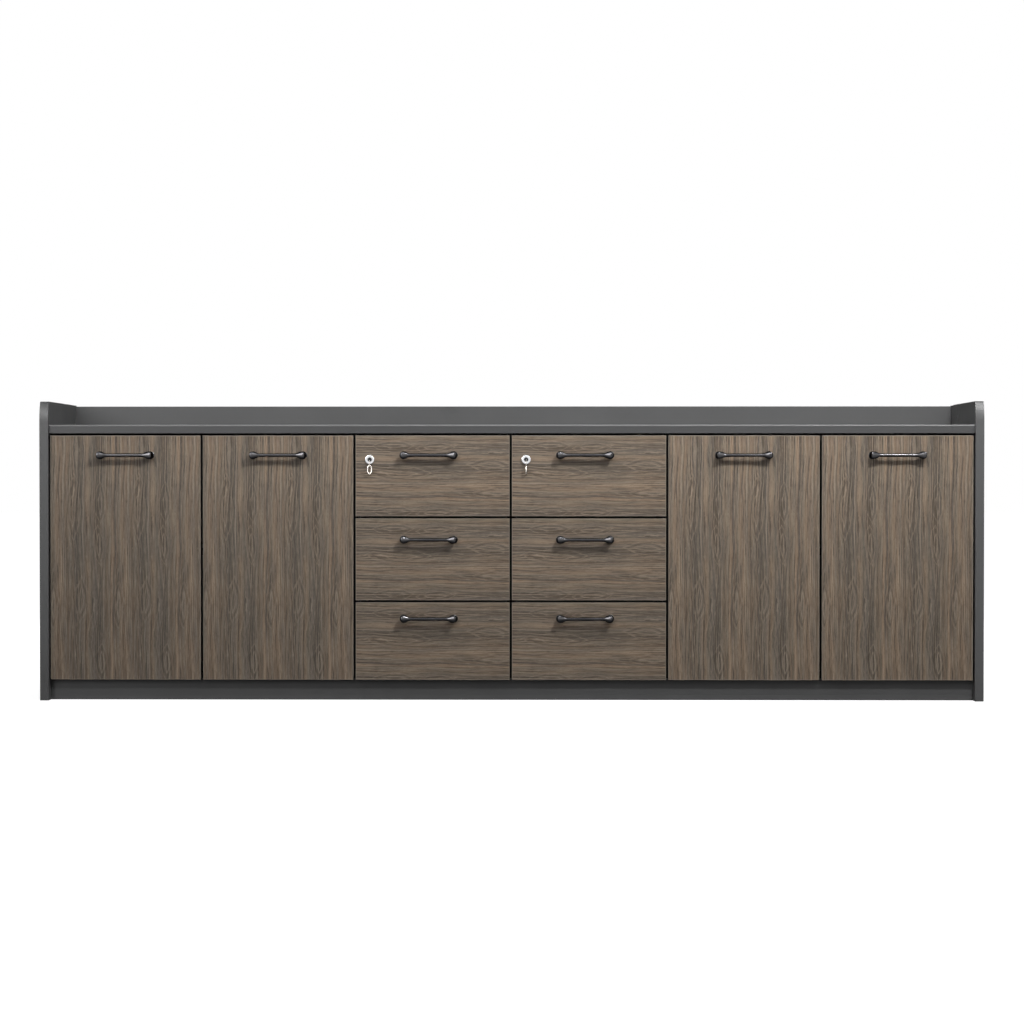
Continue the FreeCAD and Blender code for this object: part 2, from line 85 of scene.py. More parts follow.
def noise(tree, place, scale, detail, roughness):
    made = put(tree, "ShaderNodeTexNoise",
               {"Vector": place, "Scale": scale, "Detail": detail, "Roughness": roughness})
    return made.outputs[0]


def scaled(tree, colour, factor):
    """A colour made lighter or darker by a factor round one."""
    return put(tree, "ShaderNodeVectorMath", {0: colour, 3: factor}, operation="SCALE").outputs[0]


def new_group(name, inputs, outputs):
    """A shader node group with float or vector inputs and float or colour outputs."""
    group = bpy.data.node_groups.new(name, "ShaderNodeTree")
    for socket, kind in inputs.items():
        group.interface.new_socket(socket, in_out="INPUT", socket_type="NodeSocket" + kind)
    for socket, kind in outputs.items():
        group.interface.new_socket(socket, in_out="OUTPUT", socket_type="NodeSocket" + kind)
    return group, group.nodes.new("NodeGroupInput").outputs, group.nodes.new("NodeGroupOutput")


def new_finish(name, roughness, metallic=0.0, specular=0.5):
    """A material with its plain shader, ready for what changes over the surface."""
    finish = bpy.data.materials.new(name)
    finish.use_nodes = True
    shader = finish.node_tree.nodes["Principled BSDF"]
    shader.inputs["Roughness"].default_value = roughness
    shader.inputs["Metallic"].default_value = metallic
    shader.inputs["Specular IOR Level"].default_value = specular
    return finish, finish.node_tree, shader


def here(tree):
    """The place on the piece, in metres, in the frame that all pieces share."""
    return put(tree, "ShaderNodeTexCoord").outputs["Object"]


def placed(tree, group, feeds):
    """A node group put into a material, with its inputs fed."""
    return put(tree, "ShaderNodeGroup", feeds, node_tree=group).outputs


def relief(tree, shader, height, depth):
    """Raises the surface by the height mask, at most depth metres."""
    bump = put(tree, "ShaderNodeBump", {"Height": height, "Strength": 1.0, "Distance": depth})
    tree.links.new(bump.outputs[0], shader.inputs["Normal"])


def dress(name, finish):
    slots = nodes[name].data.materials
    slots.clear()
    slots.append(finish)


# The pressed texture of a melamine face: fine pearls, and a slow unevenness of sheen and tone.
pearl, given, result = new_group("pearl_texture", {"Place": "Vector", "Pearl": "Float"},
                                 {"Tone": "Float", "Sheen": "Float", "Height": "Float"})
pearl_scale, cloud_scale, cloud_tone = 900.0, 9.0, 0.10
pearls = noise(pearl, given["Place"], pearl_scale, 3.0, 0.6)
clouds = noise(pearl, given["Place"], cloud_scale, 3.0, 0.55)
unevenness = calc(pearl, "ADD",
                  calc(pearl, "MULTIPLY", calc(pearl, "SUBTRACT", pearls, 0.5), given["Pearl"]),
                  calc(pearl, "MULTIPLY", calc(pearl, "SUBTRACT", clouds, 0.5), cloud_tone))
pearl.links.new(calc(pearl, "ADD", unevenness, 1.0), result.inputs["Tone"])
pearl.links.new(calc(pearl, "ADD", calc(pearl, "MULTIPLY", pearls, 0.4),
                     calc(pearl, "MULTIPLY", clouds, 0.6)), result.inputs["Sheen"])
pearl.links.new(pearls, result.inputs["Height"])


# A board's front edge band, by the way its surface faces, and a painted highlight on the rounded
# arris above it, where the surface faces up and forward.
front_edge, given, result = new_group("front_edge", {"Normal": "Vector"},
                                      {"Band": "Float", "Arris": "Float"})
facing = put(front_edge, "ShaderNodeSeparateXYZ", {0: given["Normal"]}).outputs
front_edge.links.new(spread(front_edge, facing[1], -0.90, -0.98), result.inputs["Band"])
front_edge.links.new(calc(front_edge, "MINIMUM", spread(front_edge, facing[1], -0.10, -0.30),
                          spread(front_edge, facing[2], 0.10, 0.30)), result.inputs["Arris"])


def melamine(name, colour, roughness, pearl_strength=0.22, relief_depth=0.06 * mm, gloss=0.2,
             front_band=None, arris=None):
    """A melamine or laminate face. A front edge band may have its own colour, and its arris a
    painted highlight.
    """
    finish, tree, shader = new_finish(name, roughness, specular=gloss)
    texture = placed(tree, pearl, {"Place": here(tree), "Pearl": pearl_strength})
    toned = scaled(tree, colour, texture["Tone"])
    if front_band:
        normal = put(tree, "ShaderNodeNewGeometry").outputs["Normal"]
        edge = placed(tree, front_edge, {"Normal": normal})
        toned = blend_colours(tree, edge["Band"], toned, front_band)
        if arris:
            toned = blend_colours(tree, edge["Arris"], toned, arris)
    tree.links.new(toned, shader.inputs["Base Color"])
    sheen_change = 0.06
    tree.links.new(spread(tree, texture["Sheen"], 0.3, 0.7, roughness - sheen_change,
                          roughness + sheen_change), shader.inputs["Roughness"])
    relief(tree, shader, texture["Height"], relief_depth)
    return finish


def ease_edges(piece, radius):
    """Softens the sharp corners of a board, as an edge band is scraped."""
    weld = piece.modifiers.new("weld", "WELD")
    weld.merge_threshold = 0.02 * mm
    bevel = piece.modifiers.new("eased_edge", "BEVEL")
    bevel.width = radius
    bevel.segments = 2
    bevel.limit_method = "ANGLE"
    bevel.angle_limit = math.radians(50)
    normals = piece.modifiers.new("normals", "WEIGHTED_NORMAL")
    normals.keep_sharp = False


anthracite_grey, anthracite_roughness = (0.084, 0.084, 0.085), 0.32
anthracite = melamine("anthracite_laminate", anthracite_grey, anthracite_roughness)
board_edge, top_edge = 0.8 * mm, 2.0 * mm
for board in ("side_panels", "gallery_back_rail", "plinth_boards"):
    dress(board, anthracite)
    ease_edges(nodes[board], board_edge)
# The top has a thicker band, a shade darker, with a rounder edge, and a pale painted highlight
# along its arris.
top_band, top_arris_highlight = (0.056, 0.056, 0.057, 1.0), (0.17, 0.17, 0.171, 1.0)
dress("top_panel", melamine("anthracite_top", anthracite_grey, anthracite_roughness,
                            front_band=top_band, arris=top_arris_highlight))
ease_edges(nodes["top_panel"], top_edge)


# Inner boards: bottom, partitions and shelves. The same chipboard with a duller melamine face.
# Their front edges are painted near black, as painted shade in the gaps between the fronts.
inner_grey, gap_shade_black = (0.085, 0.085, 0.086), (0.010, 0.010, 0.010, 1.0)
inner_melamine = melamine("inner_melamine", inner_grey, 0.52, gloss=0.08, front_band=gap_shade_black)
for board in ("bottom_panel", "partitions", "shelves"):
    dress(board, inner_melamine)


# Back panels: thin hardboard, painted on both sides, with a coarser texture than the boards,
# and screwed on from behind.
hardboard = melamine("painted_hardboard", inner_grey, 0.62, pearl_strength=0.35,
                     relief_depth=0.1 * mm)
dress("back_panels", hardboard)


# Zinc plated steel of the runners, hinges and pins, with a faint mottled bloom. The locking bars
# are passivated black. Where the runner rails stand before the runners, they are painted near
# black and not metal, as painted shade on their front ends in the gaps.
plating, given, result = new_group(
    "plating_bloom", {"Place": "Vector", "Scale": "Float", "Bloom": "Float"},
    {"Tone": "Float", "Mottle": "Float"})
mottle = noise(plating, given["Place"], given["Scale"], 4.0, 0.6)
plating.links.new(spread(plating, mottle, 0.3, 0.7, calc(plating, "SUBTRACT", 1.0, given["Bloom"]),
                         calc(plating, "ADD", 1.0, given["Bloom"])), result.inputs["Tone"])
plating.links.new(mottle, result.inputs["Mottle"])


def steel(name, colour, roughness, bloom_scale=220.0, bloom=0.12):
    """Plated or blackened metal, a little rougher where its bloom is pale."""
    finish, tree, shader = new_finish(name, roughness, metallic=1.0)
    surface = placed(tree, plating, {"Place": here(tree), "Scale": bloom_scale, "Bloom": bloom})
    tree.links.new(scaled(tree, colour, surface["Tone"]), shader.inputs["Base Color"])
    tree.links.new(spread(tree, surface["Mottle"], 0.3, 0.7, roughness - 0.05, roughness + 0.08),
                   shader.inputs["Roughness"])
    return finish


zinc_tone, zinc_roughness = (0.52, 0.53, 0.55), 0.34
zinc = steel("zinc_plate", zinc_tone, zinc_roughness)
# Where the rail node stands a little before the runners it is painted near black and not metal,
# as painted shade in the gaps between the drawers.
rail_zinc = steel("rail_zinc_and_nylon", zinc_tone, zinc_roughness)
tree = rail_zinc.node_tree
shader = tree.nodes["Principled BSDF"]
rail_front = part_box("left_top_drawer_middle_runners")[0][1]
from_front = put(tree, "ShaderNodeSeparateXYZ", {0: here(tree)}).outputs[1]
front_end_shade = spread(tree, from_front, rail_front - 1.5 * mm, rail_front - 1.0 * mm, 1.0, 0.0)
plated = shader.inputs["Base Color"].links[0].from_socket
front_end_black = (0.010, 0.010, 0.010, 1.0)
tree.links.new(blend_colours(tree, front_end_shade, plated, front_end_black), shader.inputs["Base Color"])
tree.links.new(calc(tree, "SUBTRACT", 1.0, front_end_shade), shader.inputs["Metallic"])
dark_zinc = steel("black_passivated_zinc", (0.060, 0.060, 0.062), 0.45)
for name in nodes:
    if name.endswith(("_runners", "_hinge_cups")) or name == "door_bay_fittings":
        dress(name, zinc)
    elif name == "runner_rails":
        dress(name, rail_zinc)
    elif name.endswith("_locking_bar"):
        dress(name, dark_zinc)


# Doors and drawer fronts: chipboard with a walnut print under a matt overlay, upright on the
# doors and laid flat on the drawers. The print is slip-matched: the same leaf of veneer comes
# again and again, side by side, and each front is cut from the same place in it.
leaf_width = 166.5 * mm
walnut, given, result = new_group("walnut_print", {"Across": "Float", "Along": "Float"},
                                  {"Color": "Color", "Sheen": "Float", "Height": "Float"})


def on_leaf(across, along, width, length, shift):
    """A place in the figure, counted in grains of width by length, the same on each leaf."""
    turn = calc(walnut, "MULTIPLY", across, 2 * math.pi / leaf_width)
    girth = leaf_width / (2 * math.pi * width)
    return put(walnut, "ShaderNodeCombineXYZ", {
        0: calc(walnut, "MULTIPLY", calc(walnut, "COSINE", turn), girth),
        1: calc(walnut, "MULTIPLY", calc(walnut, "SINE", turn), girth),
        2: calc(walnut, "ADD", calc(walnut, "DIVIDE", along, length), shift)}).outputs[0]


def grains(across, along, width, length, shift, detail=2.0, roughness=0.5):
    """Long spots of the figure, width by length in metres. The shift makes each mask another."""
    return noise(walnut, on_leaf(across, along, width, length, shift), 1.0, detail, roughness)


def wander(mask, reach):
    """A sideways shift of at most half the reach either way."""
    return calc(walnut, "MULTIPLY", calc(walnut, "SUBTRACT", mask, 0.5), reach)


def flame(across, along, centre, height, half_width, half_length):
    """Nothing at the heart of a pointed flame in the figure, one at its outline, and on."""
    aside = put(walnut, "ShaderNodeMath", {0: calc(walnut, "SUBTRACT", across, centre),
                                           1: leaf_width / 2, 2: -leaf_width / 2},
                operation="WRAP").outputs[0]
    off = calc(walnut, "DIVIDE", calc(walnut, "ABSOLUTE", aside), half_width)
    up = calc(walnut, "DIVIDE", calc(walnut, "SUBTRACT", along, height), half_length)
    return calc(walnut, "ADD", off, calc(walnut, "MULTIPLY", up, up))


across, along = given["Across"], given["Along"]
# The grain is restless in some columns of the leaf, and nearly straight between them.
restless = spread(walnut, grains(across, along, 0.020, 2.5, 8.0), 0.44, 0.60, 0.25, 1.0)
flow = calc(walnut, "ADD", across, wander(grains(across, along, 0.045, 0.24, 1.7), 0.024))
swayed = calc(walnut, "MULTIPLY", wander(grains(across, along, 0.014, 0.062, 4.2), 0.0100), restless)
flow = calc(walnut, "ADD", flow, swayed)
# Where a knot lay under the veneer, the rings close in pointed flames, one inside the other:
# place across and along the leaf, half width and half length, in metres.
flames = ((0.1285, 0.452, 0.0150, 0.054), (0.1220, 0.345, 0.0130, 0.050),
          (0.0600, 0.440, 0.0160, 0.085), (0.0770, 0.205, 0.0160, 0.060),
          (0.0100, 0.190, 0.0130, 0.060), (0.1310, 0.045, 0.0150, 0.048))
wavy = calc(walnut, "ADD", flow, wander(grains(across, along, 0.010, 0.020, 6.0), 0.0040))
far_off = 9.0
figure = far_off
for centre, height, half_width, half_length in flames:
    closing = flame(wavy, along, centre, height, half_width, half_length)
    figure = calc(walnut, "MINIMUM", closing, figure)
in_flame = spread(walnut, figure, 1.35, 0.80)

# Stripes of one leaf, each by the millimetre where it is at its fullest.
tan, peach = (0.318, 0.220, 0.148, 1.0), (0.238, 0.168, 0.115, 1.0)
brown, grey = (0.196, 0.142, 0.100, 1.0), (0.160, 0.134, 0.103, 1.0)
slate, umber = (0.123, 0.104, 0.086, 1.0), (0.088, 0.070, 0.054, 1.0)
sap_line, pore_line = (0.290, 0.230, 0.172, 1.0), (0.034, 0.027, 0.021, 1.0)
stripes = [(0, slate), (3, brown), (9, grey), (15, peach), (21, brown), (25, peach), (27.5, tan),
           (30, brown), (36, grey), (41, peach), (46, brown), (52, grey), (58, brown),
           (62, slate), (70, umber), (76, grey), (80, slate), (86, slate), (91, brown),
           (98, peach), (104, grey), (112, slate), (122, umber), (131, slate), (138, grey),
           (146, brown), (153, grey), (156, peach), (158.5, tan), (161, tan), (163.5, umber)]
leaf_place = put(walnut, "ShaderNodeMath", {0: flow, 1: leaf_width, 2: 0.0}, operation="WRAP")
bands = put(walnut, "ShaderNodeValToRGB",
            {0: calc(walnut, "DIVIDE", leaf_place.outputs[0], leaf_width)})
ramp = bands.color_ramp.elements
for at, colour in stripes[1:]:
    ramp.new(at * mm / leaf_width).color = colour
ramp[0].color, ramp[-1].color = slate, slate

rings = grains(flow, along, 0.0034, 0.60, 3.3, 3.0, 0.6)
rings_in_flame = 1.5
nested = calc(walnut, "PINGPONG", calc(walnut, "MULTIPLY", figure, rings_in_flame), 0.5)
fibres = grains(flow, along, 0.0017, 0.075, 2.0, 2.0, 0.6)
flecks = grains(flow, along, 0.0026, 0.018, 5.0, 2.0, 0.55)
pores = grains(flow, along, 0.0007, 0.009, 7.0, 2.0, 0.6)
patches = grains(across, along, 0.020, 0.13, 9.0, 2.0, 0.5)
# Each layer of the print: its mask, where that begins and is full, its strength there, where it
# is at all, and its colour.
everywhere = 1.0
layers = ((patches, 0.46, 0.66, 0.65, everywhere, slate),
          (patches, 0.48, 0.30, 0.60, everywhere, brown),
          (rings, 0.49, 0.34, 1.00, everywhere, umber),
          (rings, 0.55, 0.68, 0.85, everywhere, sap_line),
          (nested, 0.20, 0.04, 0.70, in_flame, umber),
          (nested, 0.36, 0.48, 0.70, in_flame, sap_line),
          (fibres, 0.48, 0.30, 0.82, everywhere, pore_line),
          (fibres, 0.55, 0.70, 0.70, everywhere, sap_line),
          (flecks, 0.58, 0.74, 0.45, everywhere, sap_line),
          (flecks, 0.42, 0.26, 0.40, everywhere, pore_line),
          (pores, 0.42, 0.28, 0.50, everywhere, pore_line))
tone = bands.outputs["Color"]
for mask, begins, full, strength, where, colour in layers:
    share = calc(walnut, "MULTIPLY", spread(walnut, mask, begins, full, 0.0, strength), where)
    tone = blend_colours(walnut, share, tone, colour)
walnut.links.new(tone, result.inputs["Color"])
walnut.links.new(spread(walnut, fibres, 0.3, 0.7), result.inputs["Sheen"])
walnut.links.new(calc(walnut, "ADD", calc(walnut, "MULTIPLY", fibres, 0.6),
                      calc(walnut, "MULTIPLY", pores, 0.8)), result.inputs["Height"])

# The edges of a front, and a fine line round its face, are painted near black, as painted shade
# of the gaps between the fronts. Beside it a pale line is painted along the arris as a painted
# highlight.
painted_arris_highlight, gap_shade_band = (0.27, 0.235, 0.195, 1.0), (0.016, 0.014, 0.012, 1.0)
band_thickness = 0.9 * mm
cut_edges, given, result = new_group(
    "cut_edges", {"Place": "Vector", "Low": "Vector", "High": "Vector"},
    {"Arris": "Float", "Band": "Float"})
from_low, to_high = [
    put(cut_edges, "ShaderNodeSeparateXYZ",
        {0: put(cut_edges, "ShaderNodeVectorMath", {0: far, 1: near},
                operation="SUBTRACT").outputs[0]}).outputs
    for far, near in ((given["Place"], given["Low"]), (given["High"], given["Place"]))]
to_outline = from_low[0]
for gap in (to_high[0], from_low[2], to_high[2]):
    to_outline = calc(cut_edges, "MINIMUM", to_outline, gap)
behind = spread(cut_edges, from_low[1], 1.2 * mm, 1.5 * mm)
before = spread(cut_edges, to_high[1], 0.1 * mm, 0.3 * mm)
banded = spread(cut_edges, to_outline, band_thickness + 0.1 * mm, band_thickness - 0.1 * mm)
cut_edges.links.new(spread(cut_edges, to_outline, 2.9 * mm, 1.6 * mm, 0.0, 0.60),
                    result.inputs["Arris"])
cut_edges.links.new(calc(cut_edges, "MAXIMUM", calc(cut_edges, "MINIMUM", behind, before), banded),
                    result.inputs["Band"])

# Where in the print the upper left corner of each drawer front lies, in metres, how far the print
# slips with the depth of the board, and how calm the flat cut is.
drawer_cut_across, drawer_cut_along = 0.322, 0.549
slip_with_depth, calm = 0.4, 0.08


def walnut_front(name, flat):
    """The printed laminate of one front, cut from the same place in the print as its likes."""
    low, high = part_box(name)
    finish, tree, shader = new_finish("walnut_" + name, 0.48, specular=0.12)
    place = here(tree)
    axes = put(tree, "ShaderNodeSeparateXYZ", {0: place}).outputs
    if flat:
        across = calc(tree, "ADD", axes[2], drawer_cut_across - high[2])
        along = calc(tree, "SUBTRACT", drawer_cut_along + low[0], axes[0])
    else:
        across = calc(tree, "SUBTRACT", axes[0], low[0])
        along = calc(tree, "SUBTRACT", axes[2], low[2])
    slip = calc(tree, "MULTIPLY", calc(tree, "SUBTRACT", axes[1], low[1]), slip_with_depth)
    sheet = placed(tree, walnut, {"Across": calc(tree, "ADD", across, slip), "Along": along})
    tone = blend_colours(tree, calm if flat else 0.0, sheet["Color"], brown)
    edges = placed(tree, cut_edges, {"Place": place, "Low": low, "High": high})
    # A painted highlight: a pale line along the arris of each front.
    tone = blend_colours(tree, edges["Arris"], tone, painted_arris_highlight)
    # Painted shade of the gaps: the edges and a fine line round the face go near black.
    tone = blend_colours(tree, edges["Band"], tone, gap_shade_band)
    tree.links.new(tone, shader.inputs["Base Color"])
    tree.links.new(spread(tree, sheet["Sheen"], 0.0, 1.0, 0.42, 0.54), shader.inputs["Roughness"])
    relief(tree, shader, sheet["Height"], 0.12 * mm)
    return finish


for name in nodes:
    if name.endswith("_panel") and name.startswith("door_"):
        dress(name, walnut_front(name, flat=False))
    elif name.endswith("_front"):
        dress(name, walnut_front(name, flat=True))


# Drawer boxes: pale grey melamine boards, two sides, a back and an inner front, with a thin
# bottom let into them.
drawer_melamine = melamine("drawer_melamine", (0.50, 0.50, 0.485), 0.50)
for name in nodes:
    if name.endswith("_box"):
        dress(name, drawer_melamine)


# Handles: bow handles cast in zinc and plated in black nickel. Each has round feet, short necks
# and blunt flared heads that the slim bar runs into, and is held by two cross-head screws from
# behind the front.
foot_distance = 64.0 * mm
# The casting's right half in ribs, from the foot to the middle of the bar, in millimetres: where
# its inner and its outer line are, sideways and out from the front, half its height and the
# fullness of its section, which is 2 where it is round.
ribs = [(54.0, 0.0, 74.0, 0.0, 10.0, 2.0), (54.0, 0.7, 74.0, 0.7, 10.0, 2.0),
        (54.2, 1.1, 73.8, 1.1, 9.8, 2.0), (54.6, 1.3, 73.4, 1.3, 9.4, 2.0),
        (55.6, 2.0, 72.4, 2.0, 8.5, 2.0), (56.6, 3.4, 71.4, 3.4, 7.8, 2.0),
        (57.3, 5.4, 70.8, 5.4, 7.4, 2.0), (57.5, 8.5, 70.5, 9.0, 7.3, 2.1),
        (57.3, 11.5, 70.6, 14.0, 7.7, 2.3), (56.8, 13.8, 70.9, 19.5, 8.4, 2.5),
        (56.0, 15.4, 70.9, 24.5, 9.1, 2.6), (55.2, 16.3, 70.2, 27.2, 9.4, 2.7),
        (54.6, 16.7, 68.9, 28.6, 9.5, 2.8), (54.0, 17.0, 67.0, 29.0, 9.3, 2.8),
        (53.0, 17.2, 63.8, 28.4, 8.7, 2.8), (51.8, 17.3, 60.4, 27.7, 7.8, 2.7),
        (50.5, 17.4, 57.0, 27.0, 6.8, 2.6), (49.0, 17.4, 53.8, 26.3, 5.8, 2.4),
        (47.0, 17.4, 50.5, 25.8, 5.1, 2.2), (44.0, 17.4, 46.5, 25.6, 4.7, 2.0),
        (40.0, 17.3, 41.5, 25.6, 4.5, 2.0), (30.0, 17.3, 30.0, 25.7, 4.4, 2.0),
        (0.0, 16.9, 0.0, 26.1, 4.7, 2.0)]


def bow_handle():
    """The grip's mesh about the middle of its two feet, which stand on the plane y = 0."""
    mirrored = [(-inner_x, inner_y, -outer_x, outer_y, half_height, fullness)
                for inner_x, inner_y, outer_x, outer_y, half_height, fullness in ribs]
    grip = bmesh.new()
    around = 32
    rings = []
    for inner_x, inner_y, outer_x, outer_y, half_height, fullness in ribs[:-1] + mirrored[::-1]:
        middle = Vector((inner_x + outer_x, -inner_y - outer_y)) / 2
        outward = Vector((outer_x - inner_x, inner_y - outer_y)) / 2
        ring = []
        for step in range(around):
            angle = 2 * math.pi * step / around
            out = math.copysign(abs(math.cos(angle)) ** (2 / fullness), math.cos(angle))
            up = math.copysign(abs(math.sin(angle)) ** (2 / fullness), math.sin(angle))
            place = (middle + outward * out) * mm
            ring.append(grip.verts.new((place.x, place.y, half_height * mm * up)))
        rings.append(ring)
    for ring, following in zip(rings, rings[1:]):
        for step in range(around):
            after = (step + 1) % around
            grip.faces.new((ring[step], ring[after], following[after], following[step]))
    grip.faces.new(reversed(rings[0]))
    grip.faces.new(rings[-1])
    bmesh.ops.recalc_face_normals(grip, faces=grip.faces)
    return grip


def cross_head(sheet, place, axis, radius, height):
    """A pan-head screw with a cross recess: its middle under the head, and the way it faces."""
    turn = Vector((0, 0, 1)).rotation_difference(Vector(axis)).to_matrix().to_4x4()
    seat = Matrix.Translation(place) @ turn

    def corner(x, y, rise):
        return sheet.verts.new(seat @ Vector((radius * x, radius * y, height * rise)))

    around = 24
    # The head's outline, outward and up, and the recess: half its length and width, how much
    # narrower its floor is, and its depth. All are shares of the head's radius or height.
    rows = [(1.0, 0.0), (1.0, 0.45), (0.93, 0.75), (0.78, 0.93), (0.70, 1.0)]
    arm, arm_width, floor_share, sink = 0.62, 0.17, 0.7, 0.55
    turns = [2 * math.pi * k / around for k in range(around)]
    rings = [[corner(share * math.cos(angle), share * math.sin(angle), rise) for angle in turns]
             for share, rise in rows]
    for low, high in zip(rings, rings[1:]):
        for k in range(around):
            after = (k + 1) % around
            sheet.faces.new((low[k], low[after], high[after], high[k]))
    outline = []
    for quarter in range(4):
        angle = quarter * math.pi / 2
        for x, y in ((arm, -arm_width), (arm, arm_width), (arm_width, arm_width)):
            outline.append((x * math.cos(angle) - y * math.sin(angle),
                            x * math.sin(angle) + y * math.cos(angle)))
    top = [corner(x, y, 1.0) for x, y in outline]
    floor = [corner(x * floor_share, y * floor_share, 1.0 - sink) for x, y in outline]
    for k in range(len(outline)):
        after = (k + 1) % len(outline)
        sheet.faces.new((top[k], top[after], floor[after], floor[k]))
    sheet.faces.new(floor)
    # The top face runs from the rim to the recess, two rim edges to each side of the recess.
    rim = rings[-1]
    for k in range(len(outline)):
        after = (k + 1) % len(outline)
        first = (2 * k - 1) % around
        middle = (first + 1) % around
        last = (first + 2) % around
        sheet.faces.new((rim[first], rim[middle], rim[last], top[after], top[k]))
    sheet.faces.new(reversed(rings[0]))


def new_piece(name, sheet, finish, body):
    """A piece from its mesh, with smooth faces between the edges that are sharp."""
    mesh = bpy.data.meshes.new(name)
    bmesh.ops.recalc_face_normals(sheet, faces=sheet.faces)
    sheet.to_mesh(mesh)
    sheet.free()
    mesh.materials.append(finish)
    mesh.shade_smooth()
    mesh.set_sharp_from_angle(angle=math.radians(35))
    piece = bpy.data.objects.new(name, mesh)
    bpy.context.scene.collection.objects.link(piece)
    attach(piece, body)
    return piece


black_nickel = steel("black_nickel", (0.052, 0.051, 0.053), 0.19, bloom_scale=60.0, bloom=0.08)
# The plating stays dark where it is seen at a slant.
slanted = (0.06, 0.06, 0.06, 1.0)
black_nickel.node_tree.nodes["Principled BSDF"].inputs["Specular Tint"].default_value = slanted
bright_zinc = steel("bright_zinc", (0.60, 0.61, 0.62), 0.30, bloom_scale=300.0, bloom=0.10)
front_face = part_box("door_1_panel")[0][1]
screw_head_radius, screw_head_height = 4.0 * mm, 2.2 * mm
body_of = {node: body for body, held in frame["record"]["behaviour"]["bodies"].items()
           for node in held}
for name in nodes:
    if not name.endswith("_handle"):
        continue
    low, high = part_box(name)
    middle = Vector(((low[0] + high[0]) / 2, front_face, (low[2] + high[2]) / 2))
    sheet = bow_handle()
    bmesh.ops.translate(sheet, verts=sheet.verts, vec=middle)
    grip = new_piece(name.replace("_handle", "_bow_handle"), sheet, black_nickel, body_of[name])
    screws = bmesh.new()
    for side in (-1, 1):
        seat = (middle.x + side * foot_distance, high[1] - screw_head_height, middle.z)
        cross_head(screws, seat, (0, 1, 0), screw_head_radius, screw_head_height)
    held = new_piece(name.replace("_handle", "_handle_screws"), screws, bright_zinc, body_of[name])
    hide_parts(name)
    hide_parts(name)


# Locks: a chromed collar round a plug painted near black, as painted shade of a dark keyhole,
# and a nickel key whose bow, a bent wire loop, hangs from a knuckle painted the same near black.
# The right lock's bow hangs edge on.
chrome = steel("lock_chrome", (0.72, 0.72, 0.73), 0.12, bloom_scale=60.0, bloom=0.03)
nickel = steel("key_nickel", (0.70, 0.67, 0.62), 0.24, bloom_scale=200.0, bloom=0.06)
hole_shade_black = steel("blackened_steel", (0.035, 0.035, 0.036), 0.38, bloom_scale=160.0, bloom=0.15)
wire_radius, loop_half_width, loop_top, neck_radius = 1.6 * mm, 4.9 * mm, 15.0 * mm, 0.7 * mm
# A power under one makes the loop fuller than an ellipse.
loop_power, loop_points = 0.8, 36
knuckle_radius, knuckle_length, knuckle_bevel = 2.4 * mm, 4.6 * mm, 0.4 * mm
knuckle_end_share, knuckle_points = 0.75, 20


def tube(sheet, path, radius, side_axis, closed=False, around=12):
    """A round wire along points in one plane, to which side_axis is square."""
    rings = []
    for number, point in enumerate(path):
        before = path[number - 1] if number or closed else point
        after = path[(number + 1) % len(path)] if closed or number + 1 < len(path) else point
        outward = (after - before).normalized().cross(side_axis)
        turns = [2 * math.pi * k / around for k in range(around)]
        rings.append([sheet.verts.new(point + (outward * math.cos(angle)
                                               + side_axis * math.sin(angle)) * radius)
                      for angle in turns])
    following = rings[1:] + rings[:1] if closed else rings[1:]
    for low, high in zip(rings, following):
        for k in range(around):
            after = (k + 1) % around
            sheet.faces.new((low[k], low[after], high[after], high[k]))
    if not closed:
        sheet.faces.new(reversed(rings[0]))
        sheet.faces.new(rings[-1])


for name in nodes:
    if name.endswith("_lock_barrel"):
        dress(name, chrome)
    elif name.endswith("_lock_plug"):
        # The plug is painted near black, as painted shade of a dark keyhole.
        dress(name, hole_shade_black)
    elif name.endswith("_key_bow"):
        low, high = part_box(name)
        centre = Vector(((low[0] + high[0]) / 2, (low[1] + high[1]) / 2, high[2] - knuckle_radius))
        wide = Vector((1, 0, 0)) if high[0] - low[0] > high[1] - low[1] else Vector((0, 1, 0))
        square = wide.cross(Vector((0, 0, 1)))
        loop = bmesh.new()
        bottom = low[2] + wire_radius
        top = centre.z - loop_top
        half_loop = (top - bottom) / 2
        ring = []
        for k in range(loop_points):
            angle = 2 * math.pi * k / loop_points
            full = math.copysign(abs(math.sin(angle)) ** loop_power, math.sin(angle))
            ring.append(Vector((centre.x, centre.y, bottom + half_loop + half_loop * full))
                        + wide * loop_half_width * math.cos(angle))
        tube(loop, ring, wire_radius, square, closed=True)
        tube(loop, [Vector((centre.x, centre.y, top)), centre], neck_radius, square)
        bow = new_piece(name.replace("_key_bow", "_key_loop"), loop, nickel, body_of[name])
        hub = bmesh.new()
        reach = knuckle_length / 2
        ends = [(-reach, knuckle_end_share), (-reach + knuckle_bevel, 1.0),
                (reach - knuckle_bevel, 1.0), (reach, knuckle_end_share)]
        turns = [2 * math.pi * k / knuckle_points for k in range(knuckle_points)]
        rounds = [[hub.verts.new(centre + Vector((x, knuckle_radius * share * math.cos(turn),
                                                  knuckle_radius * share * math.sin(turn))))
                   for turn in turns] for x, share in ends]
        for left, right in zip(rounds, rounds[1:]):
            for k in range(knuckle_points):
                after = (k + 1) % knuckle_points
                hub.faces.new((left[k], left[after], right[after], right[k]))
        hub.faces.new(rounds[0])
        hub.faces.new(reversed(rounds[-1]))
        # The knuckle is painted near black too, as painted shade in the keyhole.
        knuckle = new_piece(name.replace("_key_bow", "_key_knuckle"), hub, hole_shade_black, body_of[name])
        for piece in (bow, knuckle):
            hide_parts(name)


